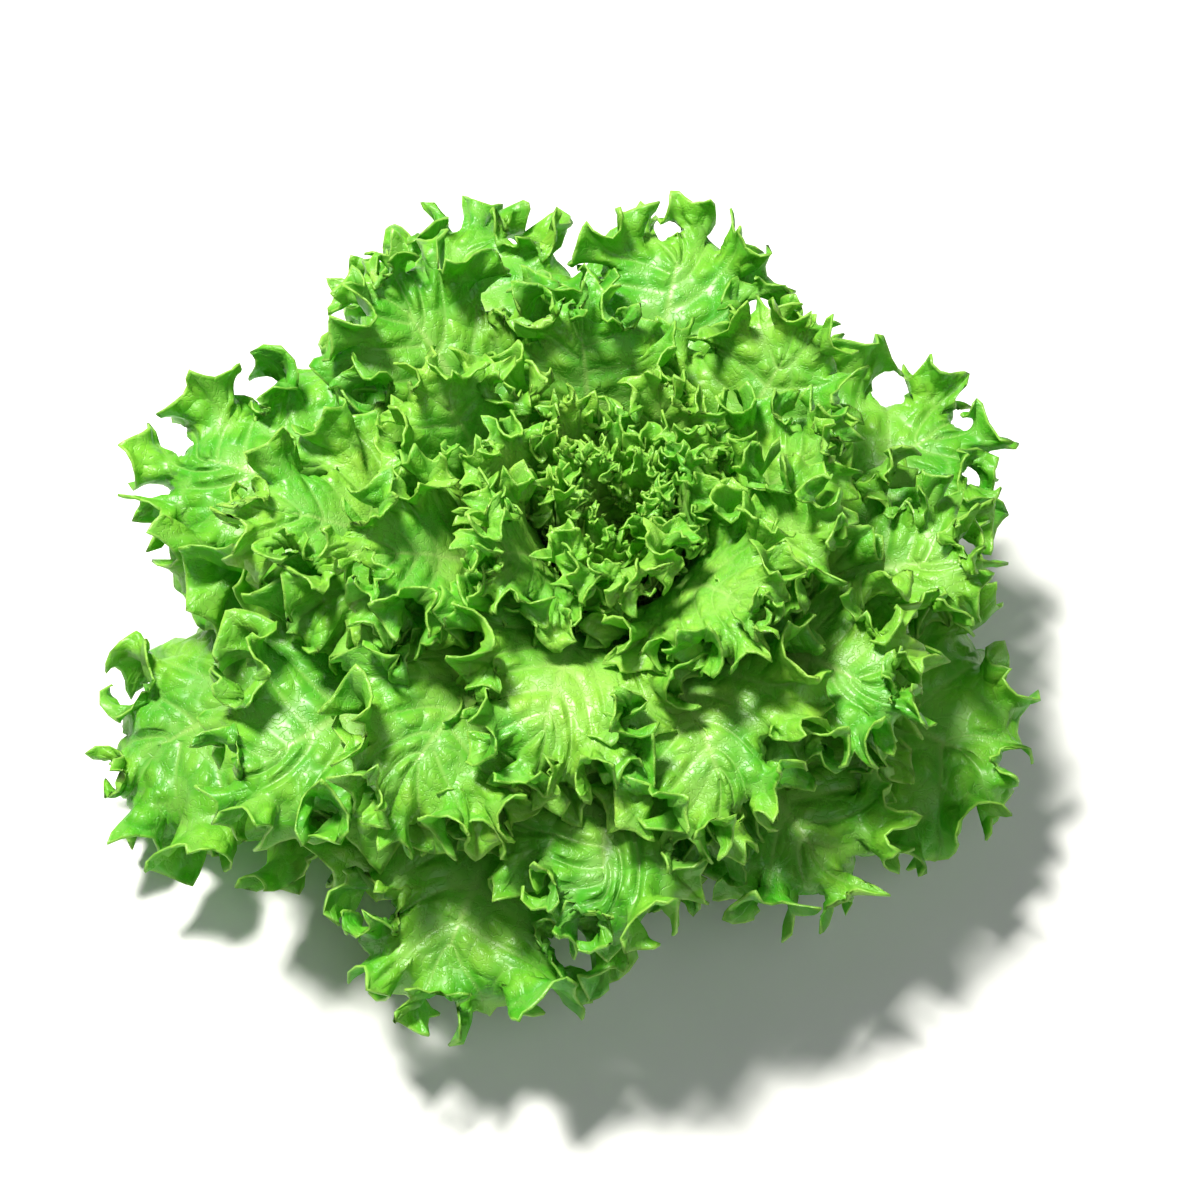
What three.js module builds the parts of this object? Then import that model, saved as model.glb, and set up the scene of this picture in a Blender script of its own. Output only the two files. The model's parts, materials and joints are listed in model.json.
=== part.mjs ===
// Green leaf lettuce: one loose-leaf head, cut from its root and standing on the cut stem.
// A short solid stem carries separate leaves in a spiral. The lowest leaf is the oldest and the
// widest, and arches out until its tip meets the surface. Each later leaf sits a little higher,
// is shorter and stands steeper, so that the leaves nest inside each other like bowls.
// Millimetres, +Z up. The origin is the centre of the stem's cut face, which stands on z = 0.
import * as THREE from "three";

// Driving dimensions.
const LEAF_COUNT = 38;
const GOLDEN_ANGLE = THREE.MathUtils.degToRad(137.508); // turn from one leaf to the next
const FIRST_LEAF_AZIMUTH = THREE.MathUtils.degToRad(196);
const STEM_RADIUS = { butt: 16, lowest: 17, highest: 5 };
const STEM_CHAMFER = 1.2;
const ATTACH_HEIGHT = { lowest: 12, highest: 72 };
const STEM_TOP_RISE = 5; // growing tip above the highest leaf
const STEM_GAP = 0.45; // clearance between a leaf's foot and the stem
const LEAF_LENGTH = { oldest: 160, youngest: 48 };
const LEAF_HALF_WIDTH = { oldest: 80, youngest: 13 };
const FOOT_HALF_WIDTH = { oldest: 15, youngest: 6 };
const BLADE_THICKNESS = { oldest: 1.1, youngest: 0.6 };
const RIB_DEPTH = { oldest: 2.8, youngest: 0.4 }; // midrib, proud of the underside at the foot
const RIB_HALF_WIDTH = 7;
const MARGIN_TEETH = { oldest: 12, youngest: 6 };
const TOOTH_DEPTH = { oldest: 9, youngest: 3.5 };
const RUFFLE_HEIGHT = { oldest: 8, youngest: 1 };
const LONG_SIDE = THREE.MathUtils.degToRad(145); // the head grew further out on this side
const LONG_SIDE_SHARE = 0.15;
const FRONT_SHARE = 0.3; // the inner leaves are longer at the front and shorter at the back
const LENGTH_SPREAD = 0.03; // one leaf differs from the next by up to this share

// Slopes along a leaf, in degrees above level: at its foot, in its lower third and at its tip.
const FOOT_SLOPE = { oldest: 6, youngest: 46 };
const RISE_SLOPE = { oldest: 38, youngest: 98 };
const TIP_SLOPE = { oldest: -46, youngest: 98 };
const SLOPE_EASE = 0.85; // the inner leaves soon stand steep
const FOOT_BEND = 28; // length over which the foot turns up
const ARCH_EASE = 1.6; // the arch tightens towards the tip
const FRONT_DROOP = { oldest: 17, middle: 60 }; // most at the front, where the head leans over

const ROWS = 4; // rows of faces from the midrib to the margin
const PROFILE_STEP = 1.5;

const LEAF_COLOUR = { oldest: 0x4fa32a, youngest: 0xa6d957 };
const STEM_COLOUR = 0xdfe8c0;

const mix = THREE.MathUtils.lerp;
const smooth = (from, to, x) => THREE.MathUtils.smoothstep(x, from, to);
const aged = (range, age) => mix(range.oldest, range.youngest, age);
const leafLength = (age) => aged(LEAF_LENGTH, age ** 1.35); // the outer whorls stay long

// Stem radius at the height of the leaf of that age, from 0 for the oldest to 1 for the youngest.
const stemRadius = (age) => mix(STEM_RADIUS.lowest, STEM_RADIUS.highest, age);
const attachHeight = (age) => mix(ATTACH_HEIGHT.lowest, ATTACH_HEIGHT.highest, age);

// How far the leaves of one side stand up: -1 at the front, 0 at the sides and 0.5 at the back.
const lean = (azimuth) => 0.75 * Math.sin(azimuth) - 0.25 * Math.sin(azimuth) ** 2;

// Slope of a leaf at distance s from its foot: it leaves the stem flat, turns up, then arches over.
function slope(s, age, azimuth) {
  const steepness = age ** SLOPE_EASE;
  const foot = aged(FOOT_SLOPE, steepness);
  const rise = aged(RISE_SLOPE, steepness);
  const droop = FRONT_DROOP.oldest * (1 - age) + FRONT_DROOP.middle * Math.sin(Math.PI * age ** 1.5);
  const tip = aged(TIP_SLOPE, steepness) + droop * lean(azimuth);
  const turned = foot + (rise - foot) * smooth(0, FOOT_BEND, s);
  return THREE.MathUtils.degToRad(turned + (tip - rise) * (s / leafLength(age)) ** ARCH_EASE);
}

// Ripples that run round the head. Neighbouring leaves share them, so they stay nested.
function ripple(azimuth, along, age) {
  const height = aged(RUFFLE_HEIGHT, age) * smooth(0.3, 1, along);
  const long = 0.62 * Math.cos(11 * azimuth + 5 * age + 2 * along);
  const short = 0.38 * Math.cos(17 * azimuth - 7 * age + 1.3);
  return height * (long + short);
}

// A point of the nested bowls: azimuth round the stem, s along the leaf from its foot, and age.
function bowlPoint(azimuth, s, age) {
  let radius = stemRadius(age) + STEM_GAP;
  let height = attachHeight(age);
  const steps = Math.max(1, Math.ceil(s / PROFILE_STEP));
  const step = s / steps;
  for (let i = 0; i < steps; i++) {
    const angle = slope((i + 0.5) * step, age, azimuth);
    radius += step * Math.cos(angle);
    height += step * Math.sin(angle);
  }
  const angle = slope(s, age, azimuth);
  const lift = ripple(azimuth, s / leafLength(age), age);
  radius -= lift * Math.sin(angle);
  height += lift * Math.cos(angle);
  return new THREE.Vector3(radius * Math.cos(azimuth), radius * Math.sin(azimuth), height);
}

// The leaf's upper side points up and towards the heart.
function bowlNormal(azimuth, s, age) {
  const reach = 0.5;
  const here = bowlPoint(azimuth, s, age);
  const along = bowlPoint(azimuth, s + reach, age).sub(here);
  const across = bowlPoint(azimuth + reach / here.length(), s, age).sub(here);
  return along.cross(across).normalize();
}

// Half the leaf's width at a share of its length: a narrow foot, then a broad rounded blade.
function halfWidth(share, age) {
  const blade = Math.sin(Math.PI * share ** 1.45) ** 0.7;
  const foot = 1 - smooth(0, 0.7, share);
  return aged(LEAF_HALF_WIDTH, age ** 0.85) * blade + aged(FOOT_HALF_WIDTH, age) * foot;
}

// The outline from the foot round the tip and back, as evenly spaced points (across, along).
function outline(age, length, columns) {
  const fine = 200;
  const half = [];
  for (let i = 0; i <= fine; i++) {
    const share = (1 - Math.cos((Math.PI * i) / fine)) / 2;
    half.push(new THREE.Vector2(halfWidth(share, age), share * length));
  }
  half[fine].x = 0;
  const left = half.map((p) => new THREE.Vector2(-p.x, p.y));
  const points = [...left, ...half.reverse().slice(1)];
  const distance = [0];
  points.slice(1).forEach((p, i) => distance.push(distance[i] + p.distanceTo(points[i])));
  return Array.from({ length: columns + 1 }, (_, c) => {
    const wanted = (distance.at(-1) * c) / columns;
    const i = Math.max(1, distance.findIndex((d) => d >= wanted - 1e-9));
    const share = Math.min(1, (wanted - distance[i - 1]) / (distance[i] - distance[i - 1]));
    return points[i - 1].clone().lerp(points[i], share);
  });
}

// One leaf as a closed solid. Columns run from the midrib out to the margin and end by turns in a
// tooth and in the bite between two teeth; rows run round the leaf. The two halves share the midrib.
function leafGeometry(index) {
  const age = index / (LEAF_COUNT - 1);
  const azimuth = FIRST_LEAF_AZIMUTH + index * GOLDEN_ANGLE;
  const side = LONG_SIDE_SHARE * Math.cos(azimuth - LONG_SIDE) * (1 - age);
  const front = FRONT_SHARE * -Math.sin(azimuth) * Math.sin(Math.PI * age ** 2);
  const length = leafLength(age) * (1 + side + front + LENGTH_SPREAD * Math.sin(index * 2.4));
  const columns = 2 * Math.round(aged(MARGIN_TEETH, age));
  const margin = outline(age, length, columns);
  const blade = aged(BLADE_THICKNESS, age);
  const middle = columns / 2;

  const positions = [];
  const upper = [];
  const lower = [];
  const addPoint = (across, s) => {
    const profile = bowlPoint(0, s, age);
    const turn = across / Math.max(profile.x, stemRadius(age));
    const normal = bowlNormal(azimuth + turn, s, age);
    const top = bowlPoint(azimuth + turn, s, age);
    const ribShare = (1 - smooth(0, 0.8, s / length)) * (1 - smooth(0, RIB_HALF_WIDTH, Math.abs(across)));
    const bottom = top.clone().addScaledVector(normal, -(blade + aged(RIB_DEPTH, age) * ribShare));
    positions.push(...top, ...bottom);
    return positions.length / 3 - 2;
  };

  for (let c = 0; c <= columns; c++) {
    const end = margin[c];
    const root = end.y * (0.5 + 0.3 * smooth(0.5, 1, end.y / length));
    const bite = c % 2 === 0 ? 0 : aged(TOOTH_DEPTH, age);
    const reach = Math.max(0.6, 1 - bite / Math.hypot(end.x, end.y - root));
    const column = [];
    for (let r = 0; r <= ROWS; r++) {
      const share = (r / ROWS) * (r === ROWS ? reach : Math.min(1, reach + 0.1));
      if (r === 0 && c > middle) column.push(upper[columns - c][0]);
      else column.push(addPoint(end.x * share, mix(root, end.y, share ** 1.15)));
    }
    upper.push(column);
  }
  upper.forEach((column) => lower.push(column.map((v) => v + 1)));

  const faces = [];
  const quad = (a, b, c, d) => {
    if (a !== b && b !== c && a !== c) faces.push(a, b, c);
    if (a !== c && c !== d && a !== d) faces.push(a, c, d);
  };
  for (let c = 0; c < columns; c++) {
    for (let r = 0; r < ROWS; r++) {
      quad(upper[c][r], upper[c][r + 1], upper[c + 1][r + 1], upper[c + 1][r]);
      quad(lower[c][r], lower[c + 1][r], lower[c + 1][r + 1], lower[c][r + 1]);
    }
    quad(upper[c][ROWS], lower[c][ROWS], lower[c + 1][ROWS], upper[c + 1][ROWS]);
  }
  for (let r = 0; r < ROWS; r++) {
    quad(upper[0][r], lower[0][r], lower[0][r + 1], upper[0][r + 1]);
    quad(upper[columns][r], upper[columns][r + 1], lower[columns][r + 1], lower[columns][r]);
  }
  const geometry = new THREE.BufferGeometry();
  geometry.setAttribute("position", new THREE.Float32BufferAttribute(positions, 3));
  geometry.setIndex(faces);
  geometry.computeVertexNormals();
  return geometry;
}

function stemGeometry() {
  const profile = [
    new THREE.Vector2(0, 0),
    new THREE.Vector2(STEM_RADIUS.butt - STEM_CHAMFER, 0),
    new THREE.Vector2(STEM_RADIUS.butt, STEM_CHAMFER),
  ];
  for (let i = 0; i <= 6; i++) {
    const age = i / 6;
    profile.push(new THREE.Vector2(stemRadius(age), attachHeight(age)));
  }
  const top = attachHeight(1) + STEM_TOP_RISE;
  profile.push(new THREE.Vector2(stemRadius(1) * 0.7, top - 1.5), new THREE.Vector2(0, top));
  return new THREE.LatheGeometry(profile, 28).rotateX(Math.PI / 2);
}

const head = new THREE.Group();
const stemMaterial = new THREE.MeshStandardMaterial({ color: STEM_COLOUR, roughness: 0.6, metalness: 0 });
const stem = new THREE.Mesh(stemGeometry(), stemMaterial);
stem.name = "stem";
head.add(stem);

for (let index = 0; index < LEAF_COUNT; index++) {
  const colour = new THREE.Color(LEAF_COLOUR.oldest);
  colour.lerp(new THREE.Color(LEAF_COLOUR.youngest), index / (LEAF_COUNT - 1));
  const material = new THREE.MeshStandardMaterial({ color: colour, roughness: 0.45, metalness: 0 });
  const leaf = new THREE.Mesh(leafGeometry(index), material);
  leaf.name = `leaf_${String(index + 1).padStart(2, "0")}`;
  head.add(leaf);
}

export default head;
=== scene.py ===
"""Green leaf lettuce: the looks of one loose-leaf head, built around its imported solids.

Every leaf starts as a smooth sheet in the place of its solid. Its margin then grows faster than its
middle, so the sheet buckles into frills, and the leaves push each other apart as they do so. The
grown sheets get their teeth, blisters, veins and thickness, and stand for the plain solid leaves.
Metres, +Z up; the origin is the centre of the stem's cut face.
"""

import json
import math
from concurrent.futures import ThreadPoolExecutor

import bpy
import numpy as np
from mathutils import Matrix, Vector


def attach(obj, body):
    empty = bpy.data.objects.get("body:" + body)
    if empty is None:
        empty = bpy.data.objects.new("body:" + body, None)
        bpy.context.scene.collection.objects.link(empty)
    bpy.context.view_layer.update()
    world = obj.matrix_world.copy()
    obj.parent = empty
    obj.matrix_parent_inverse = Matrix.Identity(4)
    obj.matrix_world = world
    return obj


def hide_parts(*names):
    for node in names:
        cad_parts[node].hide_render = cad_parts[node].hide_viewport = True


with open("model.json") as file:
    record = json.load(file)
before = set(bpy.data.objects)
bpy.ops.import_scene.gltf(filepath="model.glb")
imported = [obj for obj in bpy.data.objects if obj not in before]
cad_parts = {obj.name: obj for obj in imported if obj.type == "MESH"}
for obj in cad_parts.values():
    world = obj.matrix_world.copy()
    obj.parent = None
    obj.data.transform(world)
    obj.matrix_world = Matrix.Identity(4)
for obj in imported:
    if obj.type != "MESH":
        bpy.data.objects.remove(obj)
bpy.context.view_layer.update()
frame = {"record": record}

# The head, as the solids have it: (oldest leaf, youngest leaf).
LEAF_COUNT = 38
GOLDEN_ANGLE = math.radians(137.508)
FIRST_LEAF_AZIMUTH = math.radians(196)
STEM_RADIUS = (0.017, 0.005)
ATTACH_HEIGHT = (0.012, 0.072)
STEM_GAP = 0.00045
LEAF_LENGTH = (0.160, 0.048)
LENGTH_EASE = 1.35
LEAF_HALF_WIDTH = (0.080, 0.013)
WIDTH_EASE = 0.85
FOOT_HALF_WIDTH = (0.015, 0.006)
FOOT_REACH = 0.7  # share of the leaf's length over which the foot runs out
LONG_SIDE = math.radians(145)
LONG_SIDE_SHARE = 0.15
FRONT_SHARE = 0.30
FRONT_EASE = 2
LENGTH_SPREAD = 0.03
FOOT_SLOPE = (6.0, 46.0)  # slopes and droops in degrees
RISE_SLOPE = (38.0, 98.0)
TIP_SLOPE = (-46.0, 98.0)
SLOPE_EASE = 0.85
FOOT_BEND = 0.028
ARCH_EASE = 1.6
OLDEST_DROOP = 17.0
MIDDLE_DROOP = 60.0
DROOP_EASE = 1.5
LEAN_BACK = 0.75  # tips lean towards the heart at the back and away from it at the front,
LEAN_OUT = 0.25  # and away from it a little at both
OUTLINE_POINTS = 401
OUTLINE_EASE = 1.45  # puts the widest place beyond the middle
OUTLINE_FULLNESS = 0.7
LINE_ROOT = 0.5  # a line out to the margin starts at this share of how far along it ends,
LINE_ROOT_RISE = 0.3  # and at this much more of it near the tip
LINE_BOW = 1.15

# Growth, in stages on finer and finer grids: points round the margin and from the midrib out,
# steps, extra length of the margin (oldest, frilled) as a share of what it starts with, how
# sharply that rises towards the margin, stiffness, crumpling and the size of its patches.
SEED = 7
STAGES = (
    ((129, 13), 300, (1.2, 1.0), 2.5, 1.2, 0.0, 3),
    ((257, 25), 160, (0.7, 2.0), 4.0, 0.55, 0.2, 3),
    ((449, 33), 90, (0.3, 1.2), 8.0, 0.35, 0.3, 3),
)
SINUS_COUNT = 9
SINUS_DEPTH = (0.12, 0.45)
SINUS_WIDTH = (0.010, 0.022)
SINUS_SCATTER = 0.3
FRILLED_AGES = (-0.1, 0.25)  # leaves younger than the second frill as much as the youngest
UNEVENNESS = 0.35  # of the growth along the margin, within limits, at so many knots
UNEVEN_LIMITS = (0.4, 1.8)
UNEVEN_KNOTS = 11
CRUMPLED_SHARES = (0.5, 0.9)  # crumpling starts at the first and is full beyond the second
OUTWARD_EASE = 0.85
STIFF_DEPTH = (0.0030, 0.0013)  # a stiffer sheet buckles into wider frills
CONTACT_REACH = (0.0042, 0.0026)  # leaves keep about this far apart
SWAY = (0.0050, 0.0025)  # how far the leaves swing off their smooth bowls
SWAY_EASE = 1.3
SWAY_WAVES = ((3, 2, 0), (5, -3, 2), (8, 4, 4))  # turns round the head, turns by age, phase
ROUGHNESS = 0.0003
ROUGHNESS_EASE = 1.5
HOLD_LOOSE = 0.00007  # how firmly points stay where the smooth leaf has them, at the margin
HOLD_BLADE = 0.03  # and how much more firmly towards the midrib
HOLD_MIDRIB = 0.06
HOLD_FOOT = 0.2
FLOOR_CLEARANCE = 0.0010
EVENING = 0.4
EVENING_ROUNDS = 18
EVENED_SHARES = (0.25, 0.7)  # evened fully up to the first, not at all beyond the second

AGES = np.arange(LEAF_COUNT) / (LEAF_COUNT - 1)
AZIMUTHS = FIRST_LEAF_AZIMUTH + np.arange(LEAF_COUNT) * GOLDEN_ANGLE


def aged(values, age):
    """The value for a leaf of that age, from 0 for the oldest to 1 for the youngest."""
    return values[0] + (values[1] - values[0]) * age


def smooth(start, end, x):
    """0 before the start and 1 after the end, with a smooth rise."""
    share = np.clip((x - start) / (end - start), 0, 1)
    return share * share * (3 - 2 * share)


def length_of(vectors):
    return np.sqrt((vectors * vectors).sum(0)) + 1e-9


# ---------------------------------------------------------------- the nested bowls of the solids


def leaf_length(age):
    return aged(LEAF_LENGTH, age**LENGTH_EASE)


def slope(along, age, azimuth):
    """Slope of a leaf at a distance from its foot."""
    steepness = age**SLOPE_EASE
    foot = aged(FOOT_SLOPE, steepness)
    rise = aged(RISE_SLOPE, steepness)
    lean = LEAN_BACK * np.sin(azimuth) - LEAN_OUT * np.sin(azimuth) ** 2
    droop = OLDEST_DROOP * (1 - age) + MIDDLE_DROOP * np.sin(np.pi * age**DROOP_EASE)
    tip = aged(TIP_SLOPE, steepness) + droop * lean
    turned = foot + (rise - foot) * smooth(0, FOOT_BEND, along)
    return np.radians(turned + (tip - rise) * (along / leaf_length(age)) ** ARCH_EASE)


def bowl_profile(azimuth, along, age, steps=64):
    """Distance from the stem's axis and height at a distance from the leaf's foot."""
    radius = aged(STEM_RADIUS, age) + STEM_GAP + 0 * along
    height = aged(ATTACH_HEIGHT, age) + 0 * along
    step = along / steps
    for i in range(steps):
        angle = slope((i + 0.5) * step, age, azimuth)
        radius = radius + step * np.cos(angle)
        height = height + step * np.sin(angle)
    return radius, height


def margin_line(age, length, count):
    """The leaf's outline laid flat, from the foot round the tip and back, evenly spaced."""
    share = (1 - np.cos(np.linspace(0, np.pi, OUTLINE_POINTS))) / 2
    blade = np.maximum(np.sin(np.pi * share**OUTLINE_EASE), 0) ** OUTLINE_FULLNESS
    foot = 1 - smooth(0, FOOT_REACH, share)
    half = aged(LEAF_HALF_WIDTH, age**WIDTH_EASE) * blade + aged(FOOT_HALF_WIDTH, age) * foot
    half[-1] = 0
    across = np.concatenate([-half, half[::-1][1:]])
    along = np.concatenate([share, share[::-1][1:]]) * length
    walked = np.concatenate([[0], np.cumsum(np.hypot(np.diff(across), np.diff(along)))])
    wanted = np.linspace(0, walked[-1], count)
    return np.interp(wanted, walked, across), np.interp(wanted, walked, along)


def outward_shares(count):
    """0 at the midrib and 1 at the margin."""
    return np.linspace(0, 1, count) ** OUTWARD_EASE


def sinuses(rng, around):
    """How far the margin is cut in between the leaf's lobes, as a share of the leaf's breadth."""
    place = np.linspace(0, 1, around)
    cut = np.zeros(around)
    for k in range(SINUS_COUNT):
        middle = (k + 0.5 + rng.uniform(-SINUS_SCATTER, SINUS_SCATTER)) / SINUS_COUNT
        depth, width = rng.uniform(*SINUS_DEPTH), rng.uniform(*SINUS_WIDTH)
        cut = np.maximum(cut, depth * np.exp(-(((place - middle) / width) ** 2)))
    return cut


def smooth_leaves(grid):
    """All leaves before they frill, and their normals: (leaf, xyz, round the margin, outward)."""
    around, outward = grid
    rng = np.random.default_rng(SEED + 3)
    share = outward_shares(outward)
    across = np.zeros((LEAF_COUNT, around, outward))
    along = np.zeros_like(across)
    for i, age in enumerate(AGES):
        longer = LONG_SIDE_SHARE * math.cos(AZIMUTHS[i] - LONG_SIDE) * (1 - age)
        longer -= FRONT_SHARE * math.sin(AZIMUTHS[i]) * math.sin(math.pi * age**FRONT_EASE)
        length = leaf_length(age) * (1 + longer + LENGTH_SPREAD * math.sin(i * 2.4))
        margin_across, margin_along = margin_line(age, length, around)
        beyond = smooth(0.5, 1, margin_along / length)
        root = margin_along * (LINE_ROOT + LINE_ROOT_RISE * beyond)
        reach = 1 - sinuses(rng, around)[:, None] * share**2
        across[i] = margin_across[:, None] * share * reach
        along[i] = root[:, None] + (margin_along - root)[:, None] * share**LINE_BOW * reach
    age = AGES[:, None, None]
    radius, _ = bowl_profile(0.0, along, age)
    turn = across / np.maximum(radius, aged(STEM_RADIUS, age))
    azimuth = AZIMUTHS[:, None, None] + turn
    radius, height = bowl_profile(azimuth, along, age)
    places = np.stack([radius * np.cos(azimuth), radius * np.sin(azimuth), height], 1)
    angle = slope(along, age, azimuth)
    inward = [-np.sin(angle) * np.cos(azimuth), -np.sin(angle) * np.sin(azimuth), np.cos(angle)]
    return places.astype(np.float32), np.stack(inward, 1).astype(np.float32)


def swung(start):
    """How far each point swings off its bowl: neighbours swing together and stay nested."""
    azimuth = np.arctan2(start[:, 1], start[:, 0])
    age = AGES[:, None, None]
    swing = 0
    for turns, by_age, phase in SWAY_WAVES:
        swing = swing + np.cos(turns * azimuth + by_age * age + phase)
    return swing * outward_shares(start.shape[3]) ** SWAY_EASE * aged(SWAY, age)


# ---------------------------------------------------------------- growth

# Pairs of slices of one sheet (xyz, round, outward): the two ends of every link of a kind.
ROUND = (np.s_[:, 1:, :], np.s_[:, :-1, :])
OUT = (np.s_[:, :, 1:], np.s_[:, :, :-1])
DIAGONAL = (np.s_[:, 1:, 1:], np.s_[:, :-1, :-1])
COUNTER = (np.s_[:, :-1, 1:], np.s_[:, 1:, :-1])
ROUND_BEND = (np.s_[:, 2:], np.s_[:, 1:-1], np.s_[:, :-2])
OUT_BEND = (np.s_[:, :, 2:], np.s_[:, :, 1:-1], np.s_[:, :, :-2])

STRETCH = 0.22
SHEAR = 0.10
MOST_BEND = 0.09
MIDRIB_BEND = 0.08
LEAST_SPAN = 0.0005
MOMENTUM = 0.9
MOST_MOVE = 0.0015
GROWING_SHARE = 0.6  # the extra growth sets in over this share of a stage's steps
GROW_EVERY = 10
CONTACT_COUNTS = (150, 20)  # about this many points round and out keep other leaves away
CONTACT_FROM = 0.1  # share of the steps before the leaves push each other apart
PAIR_EVERY = 16
PUSH = 0.25
SEARCH_MARGIN = 1.2  # pairs are sought this many times as far apart as they push
SAME_SHEET_REACH = 1.7  # points this many reaches apart at the start may meet later


def link_lengths(sheet, ends):
    return length_of(sheet[ends[0]] - sheet[ends[1]])


def wandering(rng, count, knots):
    """A smooth random line for each leaf, sampled at that many points round its margin."""
    knot = rng.normal(size=(LEAF_COUNT, knots + 1))
    place = np.linspace(0, knots, count)
    low = np.minimum(place.astype(int), knots - 1)
    share = smooth(0, 1, place - low)
    return knot[:, low] * (1 - share) + knot[:, low + 1] * share


def patches(rng, grid, size):
    """A smooth random patchwork over each leaf, in patches of that many grid steps."""
    knots = rng.normal(size=(LEAF_COUNT, grid[0] // size + 2, grid[1] // size + 2))
    return refined(knots.astype(np.float32), grid)


def growth_field(rng, grid, amount, power, crumple, patch):
    """Extra length round the leaf at each point: strong at the margin, uneven along it."""
    uneven = 1 + UNEVENNESS * wandering(rng, grid[0], UNEVEN_KNOTS)
    uneven = np.clip(uneven, *UNEVEN_LIMITS)[:, :, None]
    share = outward_shares(grid[1])[None, None, :]
    frilled = smooth(*FRILLED_AGES, AGES)[:, None, None]
    field = aged(amount, frilled) * share**power * uneven
    return field + crumple * np.abs(patches(rng, grid, patch)) * smooth(*CRUMPLED_SHARES, share)


class Sheet:
    """Rest lengths and stiffness of one leaf on one grid."""

    def __init__(self, start, grown, extra, depth):
        self.grown, self.extra = grown, extra
        self.round = link_lengths(start, ROUND)
        self.out = link_lengths(start, OUT).astype(np.float32)
        self.face_round = 0.5 * (self.round[:, 1:] + self.round[:, :-1])
        diagonal = link_lengths(start, DIAGONAL) ** 2
        counter = link_lengths(start, COUNTER) ** 2
        self.skew = (diagonal - counter) / 2
        self.mean_square = (diagonal + counter) / 2
        self.stiffness = depth**2 / 12 * STRETCH
        self.out_bend = self.bending(0.5 * (self.out[:, 1:] + self.out[:, :-1]))

    def bending(self, span):
        strength = self.stiffness / np.maximum(span, LEAST_SPAN) ** 2
        return np.minimum(strength, MOST_BEND).astype(np.float32)

    def grow(self, share):
        """Sets the rest lengths for what has grown before and that share of the extra growth."""
        total = 1 + self.grown + share * self.extra
        link_scale = 0.5 * (total[1:] + total[:-1])
        self.rest_round = (self.round * link_scale).astype(np.float32)
        scale = 0.5 * (link_scale[:, 1:] + link_scale[:, :-1])
        square = self.mean_square + self.face_round**2 * (scale**2 - 1)
        self.rest_diagonal = np.sqrt(square + self.skew * scale).astype(np.float32)
        self.rest_counter = np.sqrt(square - self.skew * scale).astype(np.float32)
        self.round_bend = self.bending(0.5 * (self.rest_round[1:] + self.rest_round[:-1]))

    def pull(self, points, force):
        """Adds the pull of every link and bend to the force on the points."""
        links = (
            (ROUND, self.rest_round, STRETCH),
            (OUT, self.out, STRETCH),
            (DIAGONAL, self.rest_diagonal, SHEAR),
            (COUNTER, self.rest_counter, SHEAR),
        )
        for ends, rest, strength in links:
            link = points[ends[0]] - points[ends[1]]
            link *= strength - strength * rest / length_of(link)
            force[ends[0]] -= link
            force[ends[1]] += link
        for ends, strength in ((ROUND_BEND, self.round_bend), (OUT_BEND, self.out_bend)):
            bend = (points[ends[0]] - 2 * points[ends[1]] + points[ends[2]]) * strength
            force[ends[0]] -= bend
            force[ends[1]] += 2 * bend
            force[ends[2]] -= bend
        fold = points[:, :, 1] + points[:, ::-1, 1] - 2 * points[:, :, 0]
        force[:, :, 1] -= MIDRIB_BEND * fold
        force[:, :, 0] += MIDRIB_BEND * fold


def contact_candidates(grid):
    """Points that keep other leaves away: fewer near the midrib, where they lie close together."""
    keep = np.zeros((LEAF_COUNT, *grid), bool)
    around, outward = (max(1, round(n / few)) for n, few in zip(grid, CONTACT_COUNTS))
    quarter = grid[1] // 4
    keep[:, ::around, 2 * quarter :: outward] = True
    keep[:, :: 2 * around, quarter :: outward] = True
    keep[:, :: 4 * around, 1 : quarter : 2 * outward] = True
    keep[:, grid[0] // 4 : 3 * grid[0] // 4 : around, 1 : 2 * quarter : outward] = True
    return np.flatnonzero(keep.ravel())


NEIGHBOUR_CELLS = [(0, 0, 0), (0, 0, 1)]
NEIGHBOUR_CELLS += [(0, 1, k) for k in (-1, 0, 1)]
NEIGHBOUR_CELLS += [(1, j, k) for j in (-1, 0, 1) for k in (-1, 0, 1)]


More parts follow.
